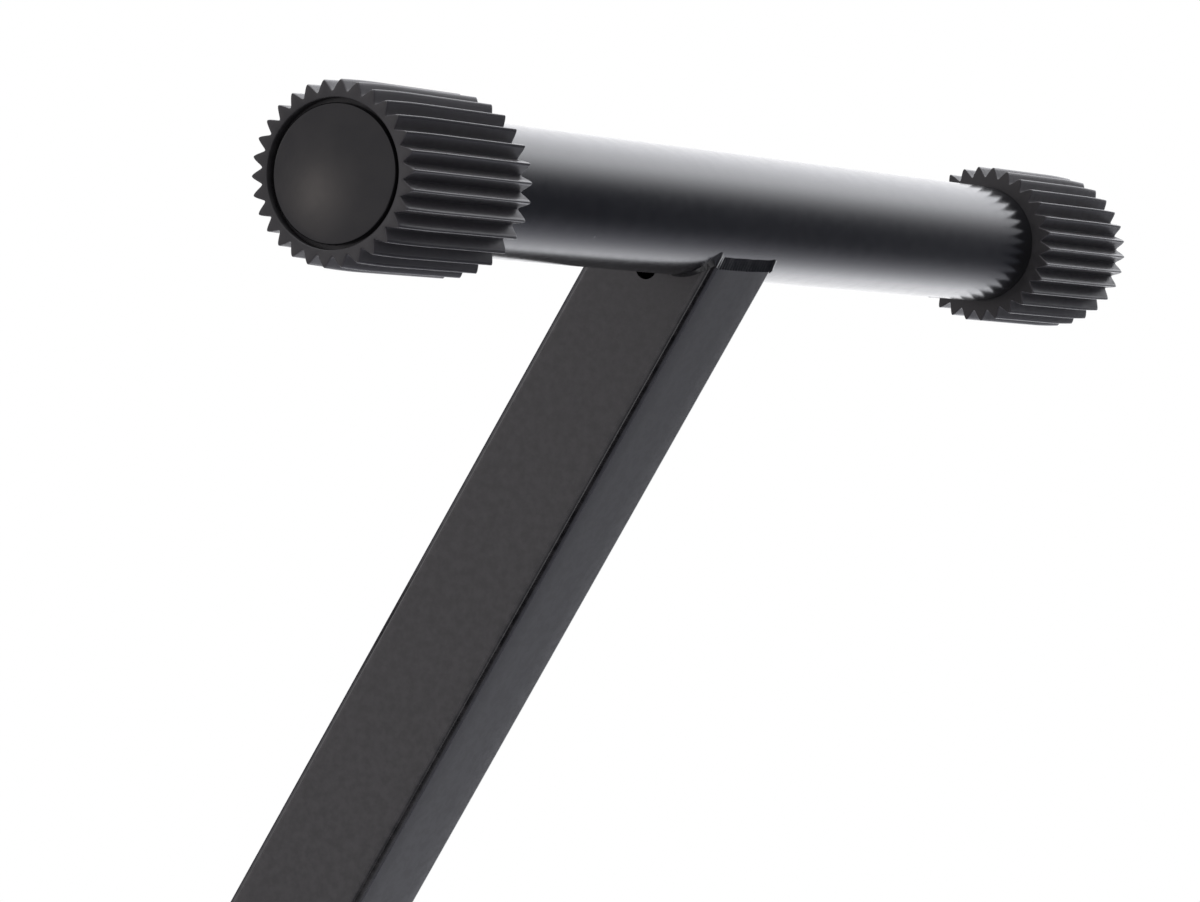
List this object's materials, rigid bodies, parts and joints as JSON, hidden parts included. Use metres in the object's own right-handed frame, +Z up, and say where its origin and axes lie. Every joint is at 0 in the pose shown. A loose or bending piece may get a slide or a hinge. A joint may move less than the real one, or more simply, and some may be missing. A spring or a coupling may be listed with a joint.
{
  "type": "keyboard stand",
  "caption": "Folding X-frame keyboard stand: square tube legs, round cross bars with ribbed rubber grips, and a toothed clutch at the crossing closed by a hand knob",
  "frame": {"origin": "on the floor, under the pivot, at the middle of the stand's footprint", "axes": "+Z is up; the cross bars run along Y, with the front leg and the knob on the -Y side; the legs spread along X"},
  "size_m": [0.5602, 0.45, 0.8629],
  "materials": {
    "black_powder_coat": "satin black powder coat on steel tube",
    "ribbed_rubber": "moulded black rubber",
    "plug_plastic": "matt black polyethylene",
    "knob_plastic": "moulded black nylon",
    "brass_insert": "turned brass",
    "clutch_steel": "stamped steel, thin black coat, worn on the tooth crests",
    "zinc_steel": "bright zinc plate"
  },
  "bodies": {
    "front_leg": {"front_leg_tube": "black_powder_coat", "front_leg_welds": "black_powder_coat", "right_arm_tube": "black_powder_coat", "right_arm_front_grip": "ribbed_rubber", "right_arm_front_plug": "plug_plastic", "right_arm_rear_grip": "ribbed_rubber", "right_arm_rear_plug": "plug_plastic", "left_foot_tube": "black_powder_coat", "left_foot_front_grip": "ribbed_rubber", "left_foot_front_plug": "plug_plastic", "left_foot_rear_grip": "ribbed_rubber", "left_foot_rear_plug": "plug_plastic", "front_clutch_disc": "clutch_steel", "front_pivot_spacer": "zinc_steel", "front_washer": "zinc_steel", "clutch_spring": "zinc_steel"},
    "hand_knob": {"knob_grip": "knob_plastic", "knob_insert": "brass_insert", "knob_cap": "knob_plastic"},
    "pivot_bolt": {"pivot_bolt": "zinc_steel", "rear_washer": "zinc_steel"},
    "rear_leg": {"rear_leg_tube": "black_powder_coat", "rear_leg_welds": "black_powder_coat", "left_arm_tube": "black_powder_coat", "left_arm_front_grip": "ribbed_rubber", "left_arm_front_plug": "plug_plastic", "left_arm_rear_grip": "ribbed_rubber", "left_arm_rear_plug": "plug_plastic", "right_foot_tube": "black_powder_coat", "right_foot_front_grip": "ribbed_rubber", "right_foot_front_plug": "plug_plastic", "right_foot_rear_grip": "ribbed_rubber", "right_foot_rear_plug": "plug_plastic", "rear_clutch_disc": "clutch_steel", "rear_pivot_spacer": "zinc_steel"}
  },
  "joints": [
    {"name": "knob_turn", "type": "hinge", "parent": "front_leg", "child": "hand_knob", "pos_m": [0, 0, 0.45281], "axis": [0, 1, 0], "range_deg": [0, 264]},
    {"name": "clutch_close", "type": "slide", "parent": "front_leg", "child": "pivot_bolt", "axis": [0, -1, 0], "range_m": [0, 0.0011], "deforming": ["clutch_spring"]},
    {"name": "legs_fold", "type": "hinge", "parent": "pivot_bolt", "child": "rear_leg", "pos_m": [0, 0, 0.45281], "axis": [0, 1, 0], "range_deg": [-45, 54]}
  ],
  "couplings": [
    {"joint": "clutch_close", "follows": "knob_turn", "m_per_rad": 0.00023873}
  ]
}
